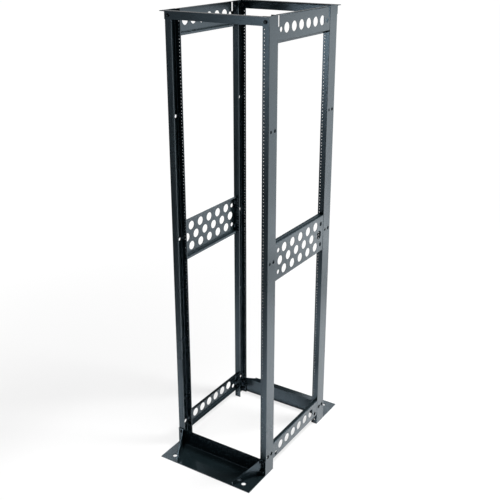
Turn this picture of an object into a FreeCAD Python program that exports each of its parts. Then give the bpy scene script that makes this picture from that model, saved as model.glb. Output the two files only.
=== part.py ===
import FreeCAD, Part
import os

# Four-post open frame rack in steel channels, angles and folded sheet, all sizes in millimetres.
# X runs across the rack, Y from front to back, Z up; the origin is on the floor under the middle.

# Rack standard: one unit of height holds three holes
UNIT = 44.45
HOLE_STEPS = (UNIT / 7, UNIT / 2, UNIT * 6 / 7)
OPENING = 450.85
HOLE_INSET = 7.125
RACK_HOLE = 5.5

# Overall sizes
HEIGHT = 2133.6
DEPTH = 580.0
POST_FLANGE = 31.75
WIDTH = OPENING + 2 * POST_FLANGE

# Units along the posts: the base and the top angles take the lowest and the highest ones
ALL_UNITS = round(HEIGHT / UNIT)
BASE_UNITS = 2
TOP_UNITS = 1

# Posts
POST_DEPTH = 68.0
POST_WALL = 4.8
POST_CORNER = 1.5
POST_FILLET = 3.0
WEB_HOLE_GAP = 31.0
WEB_HOLE_FRONT = 14.0
WEB_HOLE_REAR = 17.0
FOOT_WEB_HOLE = 20.0
WEB_HOLE_UPPER = 1672.5
WEB_HOLE_MIDDLE = 1089.0
WEB_HOLE_FOOT = 96.5

# Bolts that hold the angles to the posts
BOLT_HOLE = 9.0
BOLT_INSET = POST_FLANGE / 2

# Top angles
TOP_LEG = 38.1
TOP_SHELF = 34.5
TOP_SHEET = 3.0
TOP_BEND = 2.0

# Base angles and their gussets
BASE_HEIGHT = 85.0
BASE_REACH = 149.5
BASE_SHEET = 4.0
BASE_BEND = 3.0
ANCHOR_HOLE = 22.0
ANCHOR_INSET_X = 55.0
ANCHOR_INSET_Y = 40.0
GUSSET_SHEET = 4.0
GUSSET_POST_END = 27.0
GUSSET_FRONT_END = 95.0
GUSSET_LIP = 18.0
GUSSET_SETBACK = 3.0
GUSSET_CHAMFER = 4.5

# Side panels
PANEL_SHEET = 2.0
PANEL_BEND = 2.0
PANEL_INSET = 1.0
PANEL_FLANGE = 18.0
PANEL_LIP = 12.0
PANEL_HOLES = 6
PANEL_HOLE = 42.0
ROW_INSET = 70.0
END_HOLE = 21.0
END_HOLE_INSET = 24.5
TOP_PANEL_HEIGHT = 104.0
TOP_PANEL_HOLE_DROP = 54.0
TOP_END_HOLE_DROP = 57.5
TOP_NOTCH_LENGTH = 11.5
TOP_NOTCH_HEIGHT = 46.0
MIDDLE_PANEL_FOOT = 988.5
MIDDLE_PANEL_HEIGHT = 180.0
MIDDLE_ROW_INSET = 39.75
MIDDLE_ROW_GAP = 51.3
BOTTOM_PANEL_FOOT = 53.0
BOTTOM_PANEL_HEIGHT = 89.0
BOTTOM_PANEL_HOLE_RISE = 47.5
BOTTOM_END_HOLE_RISE = 22.0

PANEL_LENGTH = DEPTH - 2 * POST_DEPTH
X, Y, Z = FreeCAD.Vector(1, 0, 0), FreeCAD.Vector(0, 1, 0), FreeCAD.Vector(0, 0, 1)
CUT_MARGIN = 4.0


def vec(x, y, z):
    return FreeCAD.Vector(x, y, z)


def rod(diameter, middle, axis, length):
    """A round cutter centred on a point."""
    return Part.makeCylinder(diameter / 2, length, middle - axis * (length / 2), axis)


def through(sheet):
    """Length of a cutter centred on one face of a sheet that passes right through it."""
    return 2 * (sheet + CUT_MARGIN)


def cut_all(shape, cutters):
    return shape.cut(Part.makeCompound(cutters)).removeSplitter()


def profile(outside, inside, bends, sweep):
    """A bent wall swept along a straight line: its two sides as points, with each bend rounded."""
    outline = Part.makePolygon(outside + inside[::-1] + outside[:1])
    solid = Part.Face(outline).extrude(sweep)
    for corner, radius in bends:
        edges = [e for e in solid.Edges
                 if e.Length > 0.99 * sweep.Length and e.distToShape(Part.Vertex(corner))[0] < 1e-6]
        solid = solid.makeFillet(radius, edges)
    return solid


def post_channel():
    """The front right post's channel: web outside, flanges turned in, rack holes through both flanges."""
    x0, x1 = WIDTH / 2 - POST_FLANGE, WIDTH / 2
    y0, y1 = -DEPTH / 2, -DEPTH / 2 + POST_DEPTH
    t = POST_WALL
    outside = [vec(x0, y0, 0), vec(x1, y0, 0), vec(x1, y1, 0), vec(x0, y1, 0)]
    inside = [vec(x0, y0 + t, 0), vec(x1 - t, y0 + t, 0), vec(x1 - t, y1 - t, 0), vec(x0, y1 - t, 0)]
    bends = [(outside[1], POST_CORNER), (outside[2], POST_CORNER)]
    bends += [(inside[1], POST_FILLET), (inside[2], POST_FILLET)]
    channel = profile(outside, inside, bends, Z * HEIGHT)

    middle_y = (y0 + y1) / 2
    across_flanges = POST_DEPTH + 2 * CUT_MARGIN
    cutters = []
    for unit in range(BASE_UNITS, ALL_UNITS - TOP_UNITS):
        for step in HOLE_STEPS:
            middle = vec(x0 + HOLE_INSET, middle_y, unit * UNIT + step)
            cutters.append(rod(RACK_HOLE, middle, Y, across_flanges))
    for z in base_bolt_heights() + [top_bolt_height()]:
        cutters.append(rod(BOLT_HOLE, vec(x1 - BOLT_INSET, middle_y, z), Y, across_flanges))
    return cut_all(channel, cutters)


def with_web_holes(right_post, middle_y):
    """A right post with three pairs of holes through its web, the front hole smaller in the upper pairs."""
    upper_pair = ((-1, WEB_HOLE_FRONT), (1, WEB_HOLE_REAR))
    foot_pair = ((-1, FOOT_WEB_HOLE), (1, FOOT_WEB_HOLE))
    cutters = []
    for z, pair in ((WEB_HOLE_UPPER, upper_pair), (WEB_HOLE_MIDDLE, upper_pair), (WEB_HOLE_FOOT, foot_pair)):
        for side, diameter in pair:
            middle = vec(WIDTH / 2, middle_y + side * WEB_HOLE_GAP / 2, z)
            cutters.append(rod(diameter, middle, X, through(POST_WALL)))
    return cut_all(right_post, cutters)


def base_bolt_heights():
    return [UNIT * (unit + 0.5) for unit in range(BASE_UNITS)]


def top_bolt_height():
    return HEIGHT - UNIT / 2


def top_angle():
    """The front top angle: one leg bolted on the posts, the other standing out at the top."""
    face = -DEPTH / 2
    t = TOP_SHEET
    x = -WIDTH / 2
    outside = [vec(x, face, HEIGHT - TOP_LEG), vec(x, face, HEIGHT), vec(x, face - TOP_SHELF, HEIGHT)]
    inside = [vec(x, face - t, HEIGHT - TOP_LEG), vec(x, face - t, HEIGHT - t),
              vec(x, face - TOP_SHELF, HEIGHT - t)]
    angle = profile(outside, inside, [(outside[1], TOP_BEND + t), (inside[1], TOP_BEND)], X * WIDTH)
    cutters = []
    for side in (-1, 1):
        middle = vec(side * (WIDTH / 2 - BOLT_INSET), face, top_bolt_height())
        cutters.append(rod(BOLT_HOLE, middle, Y, through(t)))
    return cut_all(angle, cutters)


def base_angle():
    """The front base: an upright bolted on the posts and a floor flange with anchor holes."""
    face = -DEPTH / 2
    t = BASE_SHEET
    x = -WIDTH / 2
    outside = [vec(x, face, BASE_HEIGHT), vec(x, face, 0), vec(x, face - BASE_REACH, 0)]
    inside = [vec(x, face - t, BASE_HEIGHT), vec(x, face - t, t), vec(x, face - BASE_REACH, t)]
    angle = profile(outside, inside, [(outside[1], BASE_BEND + t), (inside[1], BASE_BEND)], X * WIDTH)
    cutters = []
    for side in (-1, 1):
        for z in base_bolt_heights():
            middle = vec(side * (WIDTH / 2 - BOLT_INSET), face, z)
            cutters.append(rod(BOLT_HOLE, middle, Y, through(t)))
        anchor = vec(side * (WIDTH / 2 - ANCHOR_INSET_X), face - BASE_REACH + ANCHOR_INSET_Y, 0)
        cutters.append(rod(ANCHOR_HOLE, anchor, Z, through(t)))
    return cut_all(angle, cutters)


def gusset():
    """The front right gusset: a tapered plate, set slantwise on the base from the post to the front edge."""
    y_back = -DEPTH / 2 - BASE_SHEET
    y_front = -DEPTH / 2 - BASE_REACH + GUSSET_SETBACK
    back = vec(WIDTH / 2 - GUSSET_POST_END, y_back, 0)
    front = vec(WIDTH / 2 - GUSSET_FRONT_END, y_front, 0)
    along = (back - front).normalize()
    run = (back - front).Length
    spare = 2 * GUSSET_SHEET
    slope = (BASE_HEIGHT - BASE_SHEET - GUSSET_LIP) / run
    chamfer = GUSSET_CHAMFER
    z0 = BASE_SHEET

    def at(distance, height):
        return front + along * distance + Z * (z0 + height)

    points = [at(-spare, 0), at(run - chamfer, 0), at(run, chamfer), at(run + spare, chamfer),
              at(run + spare, GUSSET_LIP + slope * (run + spare)), at(-spare, GUSSET_LIP - slope * spare)]
    thick = Z.cross(along) * GUSSET_SHEET
    plate = Part.Face(Part.makePolygon(points + points[:1])).extrude(thick)
    plate.translate(thick * -0.5)
    bounds = Part.makeBox(WIDTH, y_back - y_front, BASE_HEIGHT - BASE_SHEET, vec(-WIDTH / 2, y_front, z0))
    return plate.common(bounds).removeSplitter()


def panel_flange(x, y, edge, out, lipped):
    """Both sides of one flange of a panel, from the face inwards, and its bends; some end in a lip."""
    t = PANEL_SHEET
    back = edge - out * t
    end = x - PANEL_FLANGE
    outside, inside = [vec(x, y, edge)], [vec(x - t, y, back)]
    bends = [(outside[0], PANEL_BEND + t), (inside[0], PANEL_BEND)]
    if lipped:
        outside += [vec(end + t, y, edge), vec(end + t, y, back + out * PANEL_LIP)]
        inside += [vec(end, y, back), vec(end, y, back + out * PANEL_LIP)]
        bends += [(outside[1], PANEL_BEND), (inside[1], PANEL_BEND + t)]
    else:
        outside.append(vec(end, y, edge))
        inside.append(vec(end, y, back))
    return outside, inside, bends


def panel(foot, height, holes, lips, notched):
    """A right side panel between the posts, with a flange turned in at its foot and its top."""
    x = WIDTH / 2 - PANEL_INSET
    y = -PANEL_LENGTH / 2
    t = PANEL_SHEET
    inner = x - PANEL_FLANGE
    low_outside, low_inside, low_bends = panel_flange(x, y, foot, -1, lips[0])
    high_outside, high_inside, high_bends = panel_flange(x, y, foot + height, 1, lips[1])
    sheet = profile(low_outside[::-1] + high_outside, low_inside[::-1] + high_inside,
                    low_bends + high_bends, Y * PANEL_LENGTH)
    cutters = []
    for y_hole, z_hole, diameter in holes:
        cutters.append(rod(diameter, vec(x, y_hole, z_hole), X, through(t)))
    if notched:
        for side in (-1, 1):
            start = min(side * PANEL_LENGTH / 2, side * (PANEL_LENGTH / 2 - TOP_NOTCH_LENGTH))
            corner = vec(inner - t, start, foot + height - TOP_NOTCH_HEIGHT)
            cutters.append(Part.makeBox(PANEL_FLANGE + 2 * t, TOP_NOTCH_LENGTH, 2 * TOP_NOTCH_HEIGHT, corner))
    return cut_all(sheet, cutters)


def row(count, inset, z):
    """A centred row of big holes, at the pitch of a full row that starts at the inset from each end."""
    pitch = (PANEL_LENGTH - 2 * inset) / (PANEL_HOLES - 1)
    return [((i - (count - 1) / 2) * pitch, z, PANEL_HOLE) for i in range(count)]


def end_holes(z):
    reach = PANEL_LENGTH / 2 - END_HOLE_INSET
    return [(-reach, z, END_HOLE), (reach, z, END_HOLE)]


def top_panel():
    holes = row(PANEL_HOLES, ROW_INSET, HEIGHT - TOP_PANEL_HOLE_DROP)
    holes += end_holes(HEIGHT - TOP_END_HOLE_DROP)
    return panel(HEIGHT - TOP_PANEL_HEIGHT, TOP_PANEL_HEIGHT, holes, (True, False), True)


def middle_panel():
    z = MIDDLE_PANEL_FOOT + MIDDLE_PANEL_HEIGHT / 2
    holes = row(PANEL_HOLES, MIDDLE_ROW_INSET, z)
    for side in (-1, 1):
        outer_row = z + side * MIDDLE_ROW_GAP
        holes += row(PANEL_HOLES - 1, MIDDLE_ROW_INSET, outer_row) + end_holes(outer_row)
    return panel(MIDDLE_PANEL_FOOT, MIDDLE_PANEL_HEIGHT, holes, (True, True), False)


def bottom_panel():
    holes = row(PANEL_HOLES, ROW_INSET, BOTTOM_PANEL_FOOT + BOTTOM_PANEL_HOLE_RISE)
    holes += end_holes(BOTTOM_PANEL_FOOT + BOTTOM_END_HOLE_RISE)
    return panel(BOTTOM_PANEL_FOOT, BOTTOM_PANEL_HEIGHT, holes, (False, False), False)


def mirrored(shape, normal):
    return shape.mirror(vec(0, 0, 0), normal)


def save(name, shape):
    shape.exportStep("parts/" + name + ".step")


os.makedirs("parts", exist_ok=True)

front_channel = post_channel()
front_gusset = gusset()
post_middle = (DEPTH - POST_DEPTH) / 2
front_post = with_web_holes(front_channel, -post_middle)
rear_post = with_web_holes(mirrored(front_channel, Y), post_middle)
right_pieces = (("front", "post", front_post), ("rear", "post", rear_post),
                ("front", "gusset", front_gusset), ("rear", "gusset", mirrored(front_gusset, Y)))
for end, name, piece in right_pieces:
    save(end + "_right_" + name, piece)
    save(end + "_left_" + name, mirrored(piece, X))

for name, piece in (("top_angle", top_angle()), ("base_angle", base_angle())):
    save("front_" + name, piece)
    save("rear_" + name, mirrored(piece, Y))

for name, piece in (("top", top_panel()), ("middle", middle_panel()), ("bottom", bottom_panel())):
    save("right_" + name + "_panel", piece)
    save("left_" + name + "_panel", mirrored(piece, X))
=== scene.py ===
"""A four-post open frame rack in black textured powder coat, on a plain white studio floor."""
import math

import bmesh
import bpy
from mathutils import Matrix, Vector


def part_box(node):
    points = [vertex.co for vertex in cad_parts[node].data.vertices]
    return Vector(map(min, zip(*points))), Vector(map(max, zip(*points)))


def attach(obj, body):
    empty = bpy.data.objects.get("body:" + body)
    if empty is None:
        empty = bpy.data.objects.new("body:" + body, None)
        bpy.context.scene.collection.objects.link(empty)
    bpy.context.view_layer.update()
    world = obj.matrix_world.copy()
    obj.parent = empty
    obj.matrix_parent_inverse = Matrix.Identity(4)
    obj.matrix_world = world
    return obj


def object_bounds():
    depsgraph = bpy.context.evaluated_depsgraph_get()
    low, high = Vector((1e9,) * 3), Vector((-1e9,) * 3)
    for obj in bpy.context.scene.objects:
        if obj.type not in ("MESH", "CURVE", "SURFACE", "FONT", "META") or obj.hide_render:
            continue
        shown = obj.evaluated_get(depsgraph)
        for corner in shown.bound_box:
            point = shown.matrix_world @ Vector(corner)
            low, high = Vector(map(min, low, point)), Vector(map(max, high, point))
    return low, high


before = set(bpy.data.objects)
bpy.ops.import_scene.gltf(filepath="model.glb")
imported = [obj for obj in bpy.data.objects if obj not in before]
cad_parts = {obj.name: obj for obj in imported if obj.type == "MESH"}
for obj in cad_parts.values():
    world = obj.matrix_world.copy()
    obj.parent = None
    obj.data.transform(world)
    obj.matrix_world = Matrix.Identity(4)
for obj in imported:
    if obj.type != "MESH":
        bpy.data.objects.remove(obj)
cad_low, cad_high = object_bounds()

# Camera, fitted to the photograph's edges, corners and hole spacing, with its axis near the middle
CAMERA_PLACE = (1.919, -3.032, 2.458)
CAMERA_YAW = 0.5684
CAMERA_PITCH = -0.355
IMAGE_PX = 500.0
FOCAL_PX = 808.6
AXIS_ROW_PX = 226.5
SENSOR = 36.0
VIEW_REACH = 200.0

# Sizes of the steel, in metres
UNIT = 0.04445
POST_WALL = 0.0048
TOP_SHEET = 0.003
BASE_SHEET = 0.004
GUSSET_SHEET = 0.004
PANEL_SHEET = 0.002
PANEL_LIP = 0.010
LIPS = {"top": (True, False), "middle": (True, True), "bottom": (False, False)}
TOP_NOTCH = 0.046
BASE_BOLT_UNITS = (0.5, 1.5)
TOP_BOLT_UNIT = 0.5

# Bolts, washers and nuts
THREAD_R = 0.004
THREAD_PITCH = 0.00125
THREAD_DEPTH = 0.0007
HEX_FLATS = 0.013
HEAD_HEIGHT = 0.0053
NUT_HEIGHT = 0.0065
HEX_CHAMFER = 0.0011
WASHER_R = 0.008
WASHER_BORE_R = 0.0042
WASHER_THICK = 0.0016
WASHER_EDGE = 0.0003
BOLT_END = 0.0042
THREAD_TIP_DEPTH = 1.6 * THREAD_DEPTH
THREAD_TIP_RISE = 0.5 * THREAD_PITCH
HEX_CAP = 0.96
HEX_RIM = 0.0001

# Facets of a circle, of a hexagon's side and of a turn of thread, and the angle from which an edge is sharp
ROUND_STEPS = 48
HEX_STEPS = 8
THREAD_STEPS = 8
SHARP_ANGLE = math.radians(35)

# Powder coat and black zinc: darkest and lightest tone, range of roughness, strength and tint of the shine
COAT_TONES = ((0.0028, 0.0055, 0.0064, 1), (0.0044, 0.0080, 0.0092, 1))
COAT_ROUGH = (0.23, 0.29)
COAT_SHINE = 0.7
ZINC_TONES = ((0.0020, 0.0024, 0.0026, 1), (0.0060, 0.0070, 0.0076, 1))
ZINC_ROUGH = (0.26, 0.42)
ZINC_SHINE = 0.35
SHINE_TINT = (0.60, 0.82, 1.0, 1)

# Their noises: slow drifts, fine pebbles and the specks that these make, orange peel, and clouds on the zinc
DRIFT = {"Scale": 3.5, "Detail": 3.0, "Roughness": 0.55}
PEBBLE = {"Scale": 900.0, "Detail": 2.0, "Roughness": 0.5}
PEBBLE_BUMP = {"Strength": 0.2, "Distance": 0.0002}
PEBBLE_SPECKS = (0.8, 1.2)
PEEL = {"Scale": 160.0, "Detail": 1.0}
PEEL_BUMP = {"Strength": 0.08, "Distance": 0.0004}
CLOUD = {"Scale": 220.0, "Detail": 3.0}
NOISE_ENDS = (0.3, 0.7)
CLOUD_ENDS = (0.35, 0.65)

# Rack holes: their lines' distance from the middle, radius and thread, and the painted shade that darkens
# their walls; a wave texture's bands are
# WAVE_BAND apart at scale 1, and a wall's normal has a Y below HOLE_WALL_TILT
RACK_HOLE_X = 0.23255
RACK_HOLE_R = 0.00275
RACK_HOLE_REACH = 1.1 * RACK_HOLE_R
RACK_THREAD_PITCH = 0.00106
RACK_THREAD_DEPTH = 0.0004
# Painted shade: the near-black tone put on the rack holes' walls where shade falls inside them, then the
# walls' roughness
HOLE_SHADE_TONE = (0.0012, 0.0016, 0.0018, 1)
THREAD_ROUGH = 0.8
HOLE_WALL_TILT = 0.5
WAVE_BAND = math.pi / 10

# Room: strength of the walls and the ceiling, the sines of elevation between which walls turn into ceiling,
# and the walls' dimmer share on the camera's side, with the Y of directions between which they dim
WALL = 0.52
CEILING = 0.096
WALL_RISE = (0.20, 0.34)
CAMERA_SIDE = 0.6
WALL_TURN = (-0.7, 0.2)

# Floor: reflectance for light and as the camera sees it, glow near and far, and glow in reflections
FLOOR_HALF = 40.0
FLOOR_DROP = 0.0005
FLOOR_MATTE = 0.8
FLOOR_SEEN_MATTE = 0.14
FLOOR_GLOW = (0.78, 1.0)
FLOOR_REACH = (0.8, 3.2)
FLOOR_GLOSS = 0.04

# Lamps: place, target, width and height, watts, and half the angle that the grid in front lets out
SOFTBOXES = (
    ("side card", (1.35, 1.35, 1.2), (0.26, 0, 1.2), (1.2, 1.7), 9.2, 90),
    ("rear card", (0.92, 1.68, 1.1), (0.26, 0.25, 1.1), (0.4, 1.9), 2.0, 90),
    ("front card", (-1.9, -5.9, 1.5), (0.24, -0.3, 2.05), (1.5, 1.4), 1.4, 9),
    ("floor wash", (1.5, 1.05, 3.0), (0.5, 0.25, 0), (0.9, 0.9), 103, 60),
    ("front wash", (-0.42, -0.72, 2.2), (-0.42, -0.72, 0), (0.5, 0.5), 3.7, 20),
    ("front corner card", (-1.81, 1.47, 1.755), (-0.27, -0.41, 0), (0.25, 0.25), 0.0035, 3),
    ("rear corner card", (-0.93, 2.656, 1.617), (0.2, 0.4, 0), (0.25, 0.25), 0.0035, 3),
)

# Weld beads, with the shares by which they swell at a ripple, start at a tip and bulge, and their stitches
BEAD_LEG = 0.0036
BEAD_RIPPLE = 0.0024
BEAD_ARC_STEPS = 6
BEAD_STEPS_PER_RIPPLE = 4
BEAD_SINK = 0.0002
BEAD_SWELL = 0.12
BEAD_TIP = 0.35
BEAD_BULGE = 0.22
PANEL_STITCH = 0.026
PANEL_STITCH_INSET = 0.012
FLANGE_STITCH = 0.009
FLANGE_STITCH_INSET = 0.004
GUSSET_STITCH = 0.03
GUSSET_STITCH_STARTS = (0.18, 0.62)


# Materials

def node_adder(tree):
    """A function that adds a node to the tree, with its inputs set to values or linked to sockets."""

    def add(kind, inputs=None, **settings):
        node = tree.nodes.new(kind)
        for key, value in settings.items():
            setattr(node, key, value)
        for key, value in (inputs or {}).items():
            if isinstance(value, bpy.types.NodeSocket):
                tree.links.new(value, node.inputs[key])
            else:
                node.inputs[key].default_value = value
        return node

    return add


def new_material(name):
    """A material with an empty principled shader, and a helper that adds linked nodes."""
    material = bpy.data.materials.new(name)
    material.use_nodes = True
    tree = material.node_tree
    return material, tree.nodes["Principled BSDF"], node_adder(tree), tree.links


def threads_and_hole_shade(add, place, base, rough, normal):
    """Screw threads bumped into the walls of the rack holes, which alone face sideways on the holes' lines,
    and painted shade: those walls get a near-black tone where shade falls inside the holes.
    """
    spot = add("ShaderNodeSeparateXYZ", {"Vector": place})
    facing = add("ShaderNodeSeparateXYZ", {"Vector": add("ShaderNodeNewGeometry").outputs["True Normal"]})
    across = add("ShaderNodeMath", {0: spot.outputs["X"]}, operation="ABSOLUTE")
    near = add("ShaderNodeMath", {0: across.outputs[0], 1: RACK_HOLE_X, 2: RACK_HOLE_REACH},
               operation="COMPARE")
    sideways = add("ShaderNodeMath", {0: facing.outputs["Y"], 1: 0.0, 2: HOLE_WALL_TILT}, operation="COMPARE")
    wall = add("ShaderNodeMath", {0: near.outputs[0], 1: sideways.outputs[0]}, operation="MULTIPLY")
    # Painted shade: the hole walls take the near-black tone in place of the coat's colour
    dark = add("ShaderNodeMix", {"Factor": wall.outputs[0], 6: base, 7: HOLE_SHADE_TONE}, data_type="RGBA")
    dull = add("ShaderNodeMix", {"Factor": wall.outputs[0], 2: rough, 3: THREAD_ROUGH}, data_type="FLOAT")
    ridge = add("ShaderNodeTexWave", {"Vector": place, "Scale": WAVE_BAND / RACK_THREAD_PITCH},
                bands_direction="Y")
    depth = add("ShaderNodeMath", {0: ridge.outputs["Fac"], 1: wall.outputs[0]}, operation="MULTIPLY")
    thread = add("ShaderNodeBump", {"Height": depth.outputs[0], "Strength": 1.0,
                                    "Distance": RACK_THREAD_DEPTH, "Normal": normal})
    return dark.outputs[2], dull.outputs[0], thread.outputs["Normal"]


def noise(add, place, look):
    """The grey value of a noise texture."""
    return add("ShaderNodeTexNoise", {"Vector": place, **look}).outputs["Fac"]


def ramp(add, value, ends, tones):
    """A colour that goes from the first tone to the second as the value goes from end to end."""
    node = add("ShaderNodeValToRGB", {"Fac": value})
    for element, end, tone in zip(node.color_ramp.elements, ends, tones):
        element.position = end
        element.color = tone
    return node.outputs["Color"]


def drifting(add, value, span):
    """A number that follows a noise's value over a span."""
    node = add("ShaderNodeMapRange", {"Value": value, "From Min": NOISE_ENDS[0], "From Max": NOISE_ENDS[1],
                                      "To Min": span[0], "To Max": span[1]})
    return node.outputs["Result"]


def powder_coat(name, threads_and_shade):
    """Black powder coat: a fine pebbled skin with slow drifts in tone and gloss; the posts' version adds
    thread bumps and painted shade on the rack holes' walls.
    """
    material, shader, add, links = new_material(name)
    place = add("ShaderNodeTexCoord").outputs["Object"]
    drift, pebble, peel = (noise(add, place, look) for look in (DRIFT, PEBBLE, PEEL))
    tone = ramp(add, drift, NOISE_ENDS, COAT_TONES)
    speck = drifting(add, pebble, PEBBLE_SPECKS)
    base = add("ShaderNodeVectorMath", {0: tone, "Scale": speck}, operation="SCALE").outputs["Vector"]
    rough = drifting(add, drift, COAT_ROUGH)
    skin = add("ShaderNodeBump", {"Height": pebble, **PEBBLE_BUMP}).outputs["Normal"]
    normal = add("ShaderNodeBump", {"Height": peel, "Normal": skin, **PEEL_BUMP}).outputs["Normal"]
    # Posts: thread bumps, and painted shade that darkens the rack holes' walls
    if threads_and_shade:
        base, rough, normal = threads_and_hole_shade(add, place, base, rough, normal)
    links.new(base, shader.inputs["Base Color"])
    links.new(rough, shader.inputs["Roughness"])
    links.new(normal, shader.inputs["Normal"])
    shader.inputs["Specular IOR Level"].default_value = COAT_SHINE
    shader.inputs["Specular Tint"].default_value = SHINE_TINT
    return material


def black_zinc():
    """Black-plated steel of the fasteners, unevenly toned."""
    material, shader, add, links = new_material("black_zinc")
    place = add("ShaderNodeTexCoord").outputs["Object"]
    cloud = noise(add, place, CLOUD)
    links.new(ramp(add, cloud, CLOUD_ENDS, ZINC_TONES), shader.inputs["Base Color"])
    links.new(drifting(add, cloud, ZINC_ROUGH), shader.inputs["Roughness"])
    shader.inputs["Specular IOR Level"].default_value = ZINC_SHINE
    shader.inputs["Specular Tint"].default_value = SHINE_TINT
    return material


COAT = powder_coat("powder_coat", False)
# The posts' coat, with painted shade inside the rack holes
SHADED_THREAD_COAT = powder_coat("powder_coat_threads_hole_shade", True)
ZINC = black_zinc()


# Mesh helpers

def finish_piece(name, build, material):
    """A named piece on the rack from a bmesh, smooth where its faces meet at small angles."""
    bmesh.ops.recalc_face_normals(build, faces=build.faces)
    mesh = bpy.data.meshes.new(name)
    build.to_mesh(mesh)
    build.free()
    for polygon in mesh.polygons:
        polygon.use_smooth = True
    mesh.set_sharp_from_angle(angle=SHARP_ANGLE)
    mesh.materials.append(material)
    piece = bpy.data.objects.new(name, mesh)
    bpy.context.scene.collection.objects.link(piece)
    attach(piece, "root")
    return piece


def skin_rings(build, rings):
    """Quads between equal closed rings, with the first and last ring capped."""
    loops = [[build.verts.new(point) for point in ring] for ring in rings]
    for one, other in zip(loops, loops[1:]):
        for i in range(len(one)):
            j = (i + 1) % len(one)
            build.faces.new((one[i], one[j], other[j], other[i]))
    build.faces.new(loops[0][::-1])
    build.faces.new(loops[-1])


def tube_rings(build, rings):
    """Quads between equal closed rings that come back to the first one."""
    loops = [[build.verts.new(point) for point in ring] for ring in rings]
    for one, other in zip(loops, loops[1:] + loops[:1]):
        for i in range(len(one)):
            j = (i + 1) % len(one)
            build.faces.new((one[i], one[j], other[j], other[i]))


def circle(radius, height):
    """A ring of points round Z."""
    steps = [2 * math.pi * i / ROUND_STEPS for i in range(ROUND_STEPS)]
    return [Vector((radius * math.cos(a), radius * math.sin(a), height)) for a in steps]


# Bolts

def hex_prism(build, low, high, chamfer_low, chamfer_high):
    """A hexagon along Z whose chamfered ends are cut by a cone, as on a forged head or nut."""
    apothem = HEX_FLATS / 2
    corner = apothem / math.cos(math.pi / 6)
    count = 6 * HEX_STEPS
    angles = [2 * math.pi * i / count for i in range(count)]

    def reach(angle):
        return apothem / math.cos((angle + math.pi / 6) % (math.pi / 3) - math.pi / 6)

    def wall(height, inward):
        ring = []
        for angle in angles:
            drop = HEX_CHAMFER * (reach(angle) - apothem) / (corner - apothem)
            ring.append(Vector((reach(angle) * math.cos(angle), reach(angle) * math.sin(angle),
                                height + inward * drop)))
        return ring

    def cap(height):
        radius = apothem * HEX_CAP
        return [Vector((radius * math.cos(a), radius * math.sin(a), height)) for a in angles]

    rings = []
    if chamfer_low:
        rings += [cap(low), wall(low + HEX_RIM, 1)]
    else:
        rings += [wall(low, 0)]
    if chamfer_high:
        rings += [wall(high - HEX_RIM, -1), cap(high)]
    else:
        rings += [wall(high, 0)]
    skin_rings(build, rings)


def washer(build, low):
    """A flat ring along Z with its outer edges broken."""
    high = low + WASHER_THICK
    edge = WASHER_EDGE
    tube_rings(build, [circle(WASHER_BORE_R, low), circle(WASHER_R - edge, low),
                       circle(WASHER_R, low + edge), circle(WASHER_R, high - edge),
                       circle(WASHER_R - edge, high), circle(WASHER_BORE_R, high)])


def threaded_rod(build, low, high):
    """A rod along Z with a helical thread: each ring is turned a little against the one below."""
    rows = int((high - low) / THREAD_PITCH * THREAD_STEPS)
    rings = [circle(THREAD_R - THREAD_DEPTH, low)]
    for row in range(rows + 1):
        height = low + (high - low) * row / rows
        ring = []
        for i, point in enumerate(circle(1.0, 0.0)):
            phase = (height / THREAD_PITCH - i / ROUND_STEPS) % 1.0
            radius = THREAD_R - THREAD_DEPTH * abs(2 * phase - 1)
            ring.append(Vector((point.x * radius, point.y * radius, height)))
        rings.append(ring)
    rings.append(circle(THREAD_R - THREAD_TIP_DEPTH, high + THREAD_TIP_RISE))
    skin_rings(build, rings)


def bolt(name, seat, outward, grip):
    """A hex bolt through the angle and the post: head on the seat, nut and washer behind, along outward."""
    build = bmesh.new()
    washer(build, 0.0)
    hex_prism(build, WASHER_THICK, WASHER_THICK + HEAD_HEIGHT, False, True)
    behind = -grip
    washer(build, behind - WASHER_THICK)
    nut_top = behind - WASHER_THICK
    hex_prism(build, nut_top - NUT_HEIGHT, nut_top, True, True)
    threaded_rod(build, nut_top - NUT_HEIGHT - BOLT_END, WASHER_THICK)
    turn = Vector((0, 0, 1)).rotation_difference(outward).to_matrix().to_4x4()
    bmesh.ops.transform(build, matrix=Matrix.Translation(seat) @ turn, verts=build.verts)
    return finish_piece(name, build, ZINC)


def all_bolts():
    """One bolt at each end of the top angles and two at each end of the base angles."""
    for end, outward in (("front", Vector((0, -1, 0))), ("rear", Vector((0, 1, 0)))):
        for side in ("left", "right"):
            low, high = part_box(f"{end}_{side}_post")
            x = (low.x + high.x) / 2
            face = low.y if end == "front" else high.y
            seat_top = Vector((x, face + outward.y * TOP_SHEET, high.z - TOP_BOLT_UNIT * UNIT))
            bolt(f"{end}_{side}_top_bolt", seat_top, outward, TOP_SHEET + POST_WALL)
            for number, units in enumerate(BASE_BOLT_UNITS, 1):
                seat = Vector((x, face + outward.y * BASE_SHEET, units * UNIT))
                bolt(f"{end}_{side}_base_bolt_{number}", seat, outward, BASE_SHEET + POST_WALL)


# Welds

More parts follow.
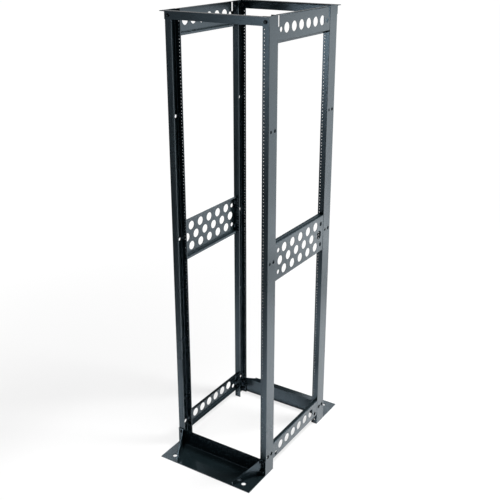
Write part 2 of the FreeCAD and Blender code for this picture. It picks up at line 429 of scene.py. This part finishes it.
def bead(build, start, end, side_a, side_b):
    """A rippled fillet weld in the corner from start to end, with its feet along side_a and side_b."""
    along = end - start
    ripples = max(2, round(along.length / BEAD_RIPPLE))
    rows = ripples * BEAD_STEPS_PER_RIPPLE
    sink = (side_a + side_b) * -BEAD_SINK
    rings = []
    for row in range(rows + 1):
        part = row / rows
        phase = (row / BEAD_STEPS_PER_RIPPLE) % 1.0
        swell = 1 - BEAD_SWELL + BEAD_SWELL * math.sqrt(max(0.0, 1 - phase * phase))
        taper = min(1.0, BEAD_TIP + (1 - BEAD_TIP) * min(part, 1 - part) * along.length / BEAD_LEG)
        leg = BEAD_LEG * swell * taper
        base = start + along * part + sink
        ring = [base]
        for step in range(BEAD_ARC_STEPS + 1):
            turn = step / BEAD_ARC_STEPS
            a, b = side_a * (1 - turn), side_b * turn
            bulge = 1 + BEAD_BULGE * math.sin(math.pi * turn)
            ring.append(base + (a + b) * leg * bulge)
        rings.append(ring)
    skin_rings(build, rings)


def panel_welds(side, level, end):
    """Stitches that hold one end of a side panel to the post's flange, on the inside."""
    low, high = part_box(f"{side}_{level}_panel")
    sign = 1 if side == "right" else -1
    inward = Vector((-sign, 0, 0))
    outer = high.x if side == "right" else low.x
    x = outer - sign * PANEL_SHEET
    y = low.y if end == "front" else high.y
    off_post = Vector((0, 1 if end == "front" else -1, 0))
    lip_low, lip_high = (PANEL_LIP if lip else 0.0 for lip in LIPS[level])
    foot, top = low.z + lip_low, high.z - lip_high
    build = bmesh.new()
    first = foot + PANEL_STITCH_INSET
    last = top - (TOP_NOTCH if level == "top" else 0.0) - PANEL_STITCH_INSET
    for start in (first, last - PANEL_STITCH):
        bead(build, Vector((x, y, start)), Vector((x, y, start + PANEL_STITCH)), inward, off_post)
    flanges = [(foot + PANEL_SHEET, Vector((0, 0, 1)))]
    if level != "top":
        flanges.append((top - PANEL_SHEET, Vector((0, 0, -1))))
    for z, up in flanges:
        start = Vector((x - sign * FLANGE_STITCH_INSET, y, z))
        bead(build, start, start + inward * FLANGE_STITCH, up, off_post)
    return finish_piece(f"{side}_{level}_panel_{end}_welds", build, COAT)


def gusset_welds(end, side):
    """Stitches along the inboard side of a gusset's foot."""
    low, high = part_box(f"{end}_{side}_gusset")
    run_y = high.y - low.y
    run_x = high.x - low.x
    slant = Vector((run_x, run_y, 0)).normalized()
    half = GUSSET_SHEET / 2 / slant.y
    back = Vector(((high.x - half if side == "right" else low.x + half),
                   (high.y if end == "front" else low.y), low.z))
    tip = Vector(((low.x + half if side == "right" else high.x - half),
                  (low.y if end == "front" else high.y), low.z))
    along = (tip - back).normalized()
    across = Vector((0, 0, 1)).cross(along)
    if (across.x > 0) == (side == "right"):
        across.negate()
    up = Vector((0, 0, 1))
    length = (tip - back).length
    build = bmesh.new()
    foot = back + across * GUSSET_SHEET / 2
    for share in GUSSET_STITCH_STARTS:
        start = foot + along * length * share
        bead(build, start, start + along * GUSSET_STITCH, across, up)
    return finish_piece(f"{end}_{side}_gusset_welds", build, COAT)


def all_welds():
    """The stitches of all the panels and gussets."""
    for side in ("left", "right"):
        for end in ("front", "rear"):
            for level in ("top", "middle", "bottom"):
                panel_welds(side, level, end)
            gusset_welds(end, side)


# Studio

def studio():
    """Low white walls and a dark ceiling, dimmer in front; the camera sees white all round."""
    world = bpy.data.worlds.new("studio")
    bpy.context.scene.world = world
    world.use_nodes = True
    world.node_tree.nodes.clear()
    add = node_adder(world.node_tree)
    way = add("ShaderNodeSeparateXYZ", {0: add("ShaderNodeTexCoord").outputs["Generated"]})
    walls = add("ShaderNodeMapRange", {"Value": way.outputs["Z"], "From Min": WALL_RISE[0],
                                       "From Max": WALL_RISE[1], "To Min": WALL, "To Max": CEILING},
                interpolation_type="SMOOTHSTEP")
    sides = add("ShaderNodeMapRange", {"Value": way.outputs["Y"], "From Min": WALL_TURN[0],
                                       "From Max": WALL_TURN[1], "To Min": CAMERA_SIDE, "To Max": 1.0},
                interpolation_type="SMOOTHSTEP")
    room = add("ShaderNodeMath", {0: walls.outputs["Result"], 1: sides.outputs["Result"]},
               operation="MULTIPLY")
    path = add("ShaderNodeLightPath")
    seen = add("ShaderNodeMath", {0: path.outputs["Is Camera Ray"], 1: path.outputs["Is Transmission Ray"]},
               operation="MAXIMUM")
    level = add("ShaderNodeMath", {0: seen.outputs[0], 1: room.outputs[0]}, operation="MAXIMUM")
    sky = add("ShaderNodeBackground", {"Color": (1, 1, 1, 1), "Strength": level.outputs[0]})
    add("ShaderNodeOutputWorld", {"Surface": sky.outputs[0]})


def floor():
    """A plain white floor; to the camera it is mostly its own glow, and the rest keeps a soft shadow."""
    build = bmesh.new()
    bmesh.ops.create_grid(build, x_segments=1, y_segments=1, size=FLOOR_HALF)
    mesh = bpy.data.meshes.new("floor")
    build.to_mesh(mesh)
    build.free()
    plane = bpy.data.objects.new("floor", mesh)
    bpy.context.scene.collection.objects.link(plane)
    plane.location.z = cad_low.z - FLOOR_DROP
    material = bpy.data.materials.new("floor_white")
    material.use_nodes = True
    material.node_tree.nodes.clear()
    add = node_adder(material.node_tree)
    path = add("ShaderNodeLightPath")
    lit, shown = (add("ShaderNodeBsdfDiffuse", {"Color": (level, level, level, 1)})
                  for level in (FLOOR_MATTE, FLOOR_SEEN_MATTE))
    matte = add("ShaderNodeMixShader", {0: path.outputs["Is Camera Ray"], 1: lit.outputs[0],
                                        2: shown.outputs[0]})
    place = add("ShaderNodeNewGeometry").outputs["Position"]
    away = add("ShaderNodeVectorMath", {0: place}, operation="LENGTH")
    white = add("ShaderNodeMapRange", {"Value": away.outputs["Value"], "From Min": FLOOR_REACH[0],
                                       "From Max": FLOOR_REACH[1], "To Min": FLOOR_GLOW[0],
                                       "To Max": FLOOR_GLOW[1]})
    seen = add("ShaderNodeMath", {0: path.outputs["Is Camera Ray"], 1: path.outputs["Is Transmission Ray"]},
               operation="MAXIMUM")
    bright = add("ShaderNodeMath", {0: seen.outputs[0], 1: white.outputs["Result"]}, operation="MULTIPLY")
    level = add("ShaderNodeMath", {0: path.outputs["Is Glossy Ray"], 1: FLOOR_GLOSS, 2: bright.outputs[0]},
                operation="MULTIPLY_ADD")
    glow = add("ShaderNodeEmission", {"Color": (1, 1, 1, 1), "Strength": level.outputs[0]})
    both = add("ShaderNodeAddShader", {0: matte.outputs[0], 1: glow.outputs[0]})
    add("ShaderNodeOutputMaterial", {"Surface": both.outputs[0]})
    mesh.materials.append(material)


def softbox(name, place, target, size, watts, half_beam):
    """A soft rectangular lamp that the camera doesn't see."""
    light = bpy.data.lights.new(name, "AREA")
    light.shape = "RECTANGLE"
    light.size, light.size_y = size
    light.spread = math.radians(2 * half_beam)
    light.energy = watts
    lamp = bpy.data.objects.new(name, light)
    bpy.context.scene.collection.objects.link(lamp)
    lamp.visible_camera = False
    lamp.location = place
    lamp.rotation_euler = (Vector(target) - Vector(place)).to_track_quat("-Z", "Y").to_euler()


def camera():
    """The photograph's camera."""
    data = bpy.data.cameras.new("camera")
    data.sensor_width = SENSOR
    data.lens = FOCAL_PX * SENSOR / IMAGE_PX
    data.shift_y = (AXIS_ROW_PX - IMAGE_PX / 2) / IMAGE_PX
    data.clip_end = VIEW_REACH
    eye = bpy.data.objects.new("camera", data)
    bpy.context.scene.collection.objects.link(eye)
    eye.location = CAMERA_PLACE
    eye.rotation_euler = (math.pi / 2 + CAMERA_PITCH, 0, CAMERA_YAW)
    bpy.context.scene.camera = eye


for name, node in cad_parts.items():
    node.data.materials.clear()
    # Posts take the coat with painted shade in their rack holes
    node.data.materials.append(SHADED_THREAD_COAT if name.endswith("_post") else COAT)

all_bolts()
all_welds()
studio()
floor()
for lamp in SOFTBOXES:
    softbox(*lamp)
camera()

bpy.context.scene.view_settings.view_transform = "Standard"
